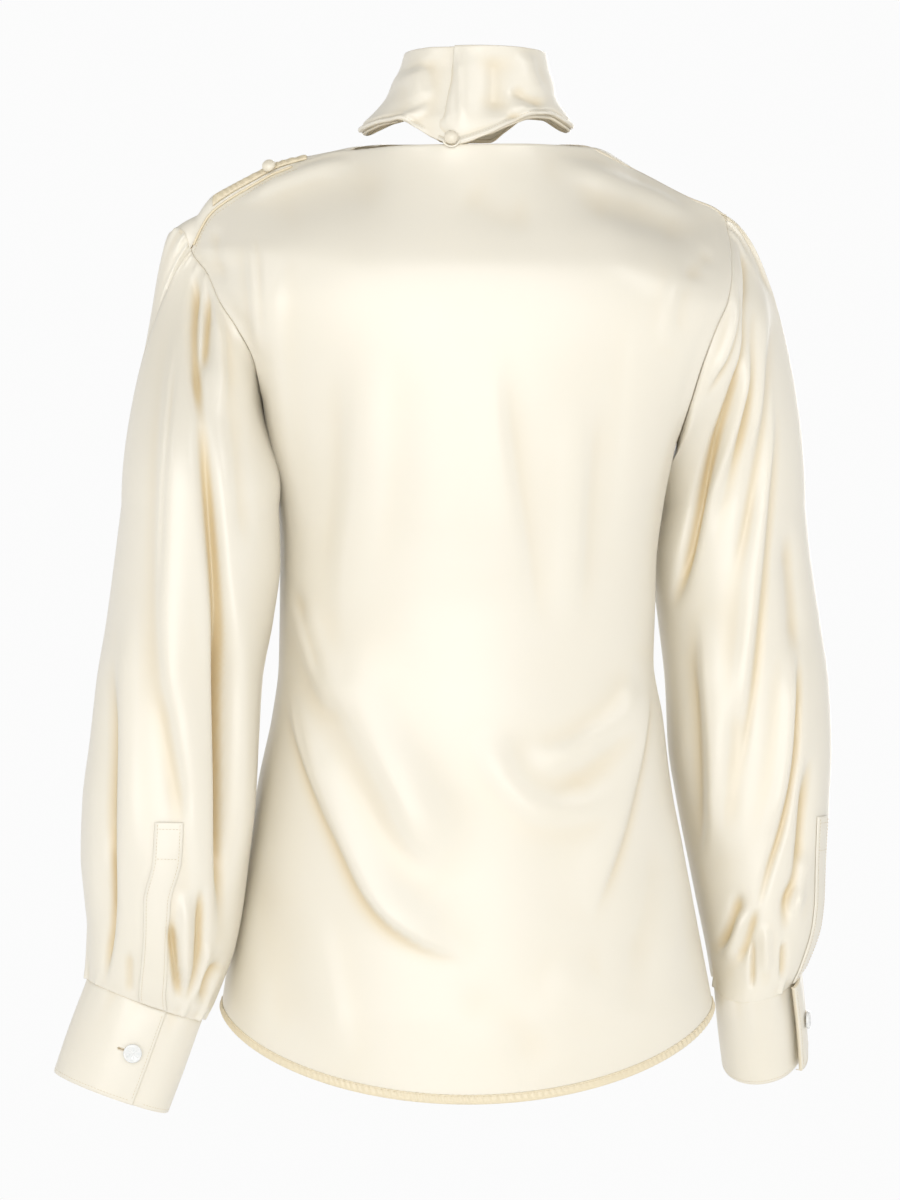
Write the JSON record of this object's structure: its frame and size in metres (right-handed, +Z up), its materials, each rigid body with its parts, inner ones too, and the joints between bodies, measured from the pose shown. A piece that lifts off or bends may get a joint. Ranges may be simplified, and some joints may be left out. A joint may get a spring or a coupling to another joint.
{
  "type": "blouse",
  "caption": "Long-sleeved satin blouse in its worn, hollow form, with a tall flared collar closed at the back, full sleeves and deep buttoned cuffs.",
  "frame": {"origin": "between the shoulders at the foot of the neck, where the wearer carries the blouse", "axes": "+Z up, +Y toward the front of the blouse, +X toward the wearer's right sleeve"},
  "size_m": [0.5587, 0.2304, 0.756],
  "materials": {
    "satin": "cream silk satin, glossy outside",
    "covered_button": "the same satin stretched over a dome",
    "pearl_button": "pearly, faceted"
  },
  "bodies": {
    "root": {"back_panel": "satin", "front_panel": "satin", "left_sleeve_upper": "satin", "left_sleeve_lower": "satin", "right_sleeve_upper": "satin", "right_sleeve_lower": "satin", "back_hem": "satin", "front_hem": "satin", "shoulder_placket": "satin", "left_sleeve_placket": "satin", "right_sleeve_placket": "satin", "left_cuff": "satin", "right_cuff": "satin", "collar": "satin", "collar_facing": "satin", "neck_loop": "satin", "neck_button": "covered_button", "shoulder_button": "covered_button", "left_cuff_button": "pearl_button", "right_cuff_button": "pearl_button"}
  },
  "joints": []
}
